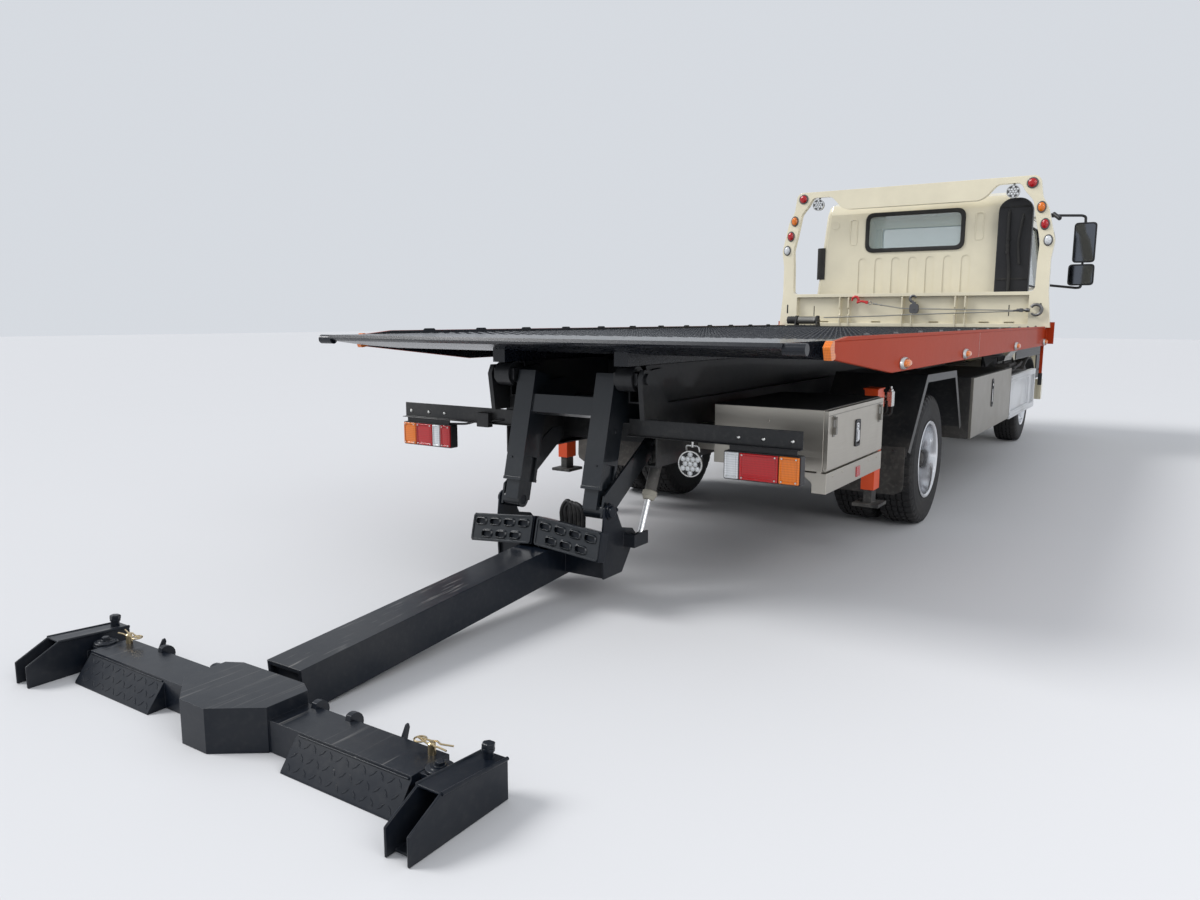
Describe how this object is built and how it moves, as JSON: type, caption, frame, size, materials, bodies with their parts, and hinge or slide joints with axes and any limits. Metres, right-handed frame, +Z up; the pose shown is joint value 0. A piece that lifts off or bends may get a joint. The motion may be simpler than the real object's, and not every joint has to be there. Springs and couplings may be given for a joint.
{
  "type": "flatbed recovery truck",
  "caption": "Flatbed recovery truck with a sliding, tilting deck, lamp hoop, tool lockers and a folding rear wheel-lift boom with a crossbar.",
  "frame": {"origin": "on the ground at the middle of the whole length and width", "axes": "+X to the truck's left, -Y forward, +Y to the tail and boom, +Z up"},
  "size_m": [2.88, 9.87, 2.52],
  "materials": {
    "frame_black": "semi-gloss black chassis paint",
    "cast_black": "black painted castings",
    "engine_grey": "grey painted casting",
    "cab_cream": "gloss cream paint",
    "bare_aluminium": "mill finish",
    "box_black": "black sheet",
    "brushed_steel": "brushed stainless sheet",
    "black_rubber": "matt rubber",
    "signal_orange": "gloss orange paint",
    "mast_black": "satin black paint",
    "deck_black": "gloss black paint on chequered sheet",
    "lamp_red": "red and amber lenses",
    "lamp_amber": "amber lenses in bright bezels",
    "lamp_clear": "clear lenses",
    "tackle_steel": "forged steel",
    "clear_glass": "clear glass",
    "cab_trim": "grained black plastic",
    "seat_cloth": "woven seat cloth",
    "tyre_black": "tyre rubber",
    "rim_bright": "polished wheel covers",
    "cylinder_grey": "dusty black barrel",
    "chrome_rod": "hard chrome"
  },
  "bodies": {
    "chassis": {"chassis_frame": "frame_black", "front_axle": "cast_black", "rear_axle": "cast_black", "engine_block": "engine_grey", "front_bumper": "cab_cream", "fuel_tank": "frame_black", "side_guards": "bare_aluminium", "mid_toolboxes": "box_black", "rear_toolbox": "brushed_steel", "rear_wings": "frame_black", "mudflaps": "black_rubber", "outrigger_housings": "signal_orange", "mast_frame": "mast_black", "tail_bar": "frame_black", "tail_lamps": "lamp_red"},
    "cab": {"cab_shell": "cab_cream", "cab_front": "cab_cream", "cab_glass": "clear_glass", "headlamps": "lamp_clear", "dashboard": "cab_trim", "seats": "seat_cloth", "mirrors": "cab_trim", "air_intake": "black_rubber"},
    "door_left": {"door_left": "cab_cream", "door_glass_left": "clear_glass"},
    "door_right": {"door_right": "cab_cream", "door_glass_right": "clear_glass"},
    "steer_left": {"knuckle_left": "cast_black"},
    "steer_right": {"knuckle_right": "cast_black"},
    "wheel_front_left": {"front_tyre_left": "tyre_black", "front_rim_left": "rim_bright"},
    "wheel_front_right": {"front_tyre_right": "tyre_black", "front_rim_right": "rim_bright"},
    "wheels_rear_left": {"rear_tyres_left": "tyre_black", "rear_rims_left": "rim_bright"},
    "wheels_rear_right": {"rear_tyres_right": "tyre_black", "rear_rims_right": "rim_bright"},
    "tilt_frame": {"tilt_frame": "frame_black"},
    "deck": {"deck_platform": "deck_black", "side_skirts": "signal_orange", "pylon": "cab_cream", "deck_lamps": "lamp_amber", "winch": "cast_black", "deck_tackle": "tackle_steel"},
    "tilt_barrels": {"tilt_cylinder_barrels": "cylinder_grey"},
    "tilt_rods": {"tilt_cylinder_rods": "chrome_rod"},
    "mast_legs": {"mast_legs": "mast_black"},
    "boom": {"boom_outer": "mast_black"},
    "boom_inner": {"boom_inner": "mast_black"},
    "crossbar": {"crossbar": "mast_black"},
    "holder_left": {"holder_left": "mast_black"},
    "holder_right": {"holder_right": "mast_black"},
    "boom_barrel": {"boom_cylinder_barrel": "cylinder_grey"},
    "boom_rod": {"boom_cylinder_rod": "chrome_rod"},
    "outrigger_left": {"outrigger_leg_left": "cast_black"},
    "outrigger_right": {"outrigger_leg_right": "cast_black"},
    "mid_door_left": {"mid_door_left": "brushed_steel"},
    "mid_door_right": {"mid_door_right": "brushed_steel"},
    "rear_box_door": {"rear_toolbox_door": "brushed_steel"}
  },
  "joints": [
    {"name": "cab_tilt", "type": "hinge", "parent": "chassis", "child": "cab", "pos_m": [0, -4.805, 0.7], "axis": [1, 0, 0], "range_deg": [0, 45]},
    {"name": "door_left_swing", "type": "hinge", "parent": "cab", "child": "door_left", "pos_m": [0.982, -4.682, 1.5], "axis": [0, 0, -1], "range_deg": [0, 65]},
    {"name": "door_right_swing", "type": "hinge", "parent": "cab", "child": "door_right", "pos_m": [-0.982, -4.682, 1.5], "axis": [0, 0, 1], "range_deg": [0, 65]},
    {"name": "steer_left", "type": "hinge", "parent": "chassis", "child": "steer_left", "pos_m": [0.69, -3.83, 0.3985], "axis": [0, 0, 1], "range_deg": [-30, 30]},
    {"name": "steer_right", "type": "hinge", "parent": "chassis", "child": "steer_right", "pos_m": [-0.69, -3.83, 0.3985], "axis": [0, 0, 1], "range_deg": [-30, 30]},
    {"name": "roll_front_left", "type": "hinge", "parent": "steer_left", "child": "wheel_front_left", "pos_m": [0.838, -3.83, 0.3985], "axis": [1, 0, 0], "continuous": true},
    {"name": "roll_front_right", "type": "hinge", "parent": "steer_right", "child": "wheel_front_right", "pos_m": [-0.838, -3.83, 0.3985], "axis": [1, 0, 0], "continuous": true},
    {"name": "roll_rear_left", "type": "hinge", "parent": "chassis", "child": "wheels_rear_left", "pos_m": [0.82, 0.645, 0.3985], "axis": [1, 0, 0], "continuous": true},
    {"name": "roll_rear_right", "type": "hinge", "parent": "chassis", "child": "wheels_rear_right", "pos_m": [-0.82, 0.645, 0.3985], "axis": [1, 0, 0], "continuous": true},
    {"name": "deck_tilt", "type": "hinge", "parent": "chassis", "child": "tilt_frame", "pos_m": [0, 2.985, 0.995], "axis": [-1, 0, 0], "range_deg": [0, 16]},
    {"name": "deck_slide", "type": "slide", "parent": "tilt_frame", "child": "deck", "axis": [0, 1, 0], "range_m": [0, 3.6]},
    {"name": "tilt_barrel_swing", "type": "hinge", "parent": "chassis", "child": "tilt_barrels", "pos_m": [0, 0.945, 0.7], "axis": [-1, 0, 0], "range_deg": [0, 36.78]},
    {"name": "tilt_rod_slide", "type": "slide", "parent": "tilt_barrels", "child": "tilt_rods", "axis": [0, -0.9724, 0.2334], "range_m": [0, 0.37583]},
    {"name": "mast_slide", "type": "slide", "parent": "chassis", "child": "mast_legs", "axis": [0, 0.2407, -0.9706], "range_m": [-0.16, 0]},
    {"name": "boom_fold", "type": "hinge", "parent": "mast_legs", "child": "boom", "pos_m": [0, 3.07721, 0.4192], "axis": [-1, 0, 0], "range_deg": [-50, 0]},
    {"name": "boom_reach", "type": "slide", "parent": "boom", "child": "boom_inner", "axis": [0, -0.9969, 0.0785], "range_m": [-0.9, 0]},
    {"name": "crossbar_swing", "type": "hinge", "parent": "boom_inner", "child": "crossbar", "pos_m": [0, 4.665, 0.065], "axis": [0, 0, 1], "range_deg": [-18, 18]},
    {"name": "holder_left_swing", "type": "hinge", "parent": "crossbar", "child": "holder_left", "pos_m": [0.812, 4.69, 0.05], "axis": [0, 0, -1], "range_deg": [0, 45]},
    {"name": "holder_right_swing", "type": "hinge", "parent": "crossbar", "child": "holder_right", "pos_m": [-0.812, 4.69, 0.05], "axis": [0, 0, 1], "range_deg": [0, 45]},
    {"name": "boom_barrel_swing", "type": "hinge", "parent": "mast_legs", "child": "boom_barrel", "pos_m": [-0.328, 2.685, 0.68], "axis": [1, 0, 0], "range_deg": [0, 11.49]},
    {"name": "boom_rod_slide", "type": "slide", "parent": "boom_barrel", "child": "boom_rod", "axis": [0, 0.4205, -0.9073], "range_m": [0, 0.18334]},
    {"name": "outrigger_left_slide", "type": "slide", "parent": "chassis", "child": "outrigger_left", "axis": [0, 0, -1], "range_m": [0, 0.235]},
    {"name": "outrigger_right_slide", "type": "slide", "parent": "chassis", "child": "outrigger_right", "axis": [0, 0, -1], "range_m": [0, 0.235]},
    {"name": "mid_door_left_drop", "type": "hinge", "parent": "chassis", "child": "mid_door_left", "pos_m": [1.142, -0.91, 0.449], "axis": [0, 1, 0], "range_deg": [0, 90]},
    {"name": "mid_door_right_drop", "type": "hinge", "parent": "chassis", "child": "mid_door_right", "pos_m": [-1.142, -0.91, 0.449], "axis": [0, -1, 0], "range_deg": [0, 90]},
    {"name": "rear_box_door_drop", "type": "hinge", "parent": "chassis", "child": "rear_box_door", "pos_m": [-1.092, 2.22, 0.614], "axis": [0, -1, 0], "range_deg": [0, 90]}
  ],
  "couplings": [
    {"joint": "steer_right", "follows": "steer_left", "ratio": 1},
    {"joint": "tilt_barrel_swing", "follows": "deck_tilt", "ratio": 2.2989},
    {"joint": "tilt_rod_slide", "follows": "deck_tilt", "m_per_rad": 1.3459},
    {"joint": "boom_barrel_swing", "follows": "boom_fold", "ratio": -0.22977},
    {"joint": "boom_rod_slide", "follows": "boom_fold", "m_per_rad": -0.21009}
  ]
}
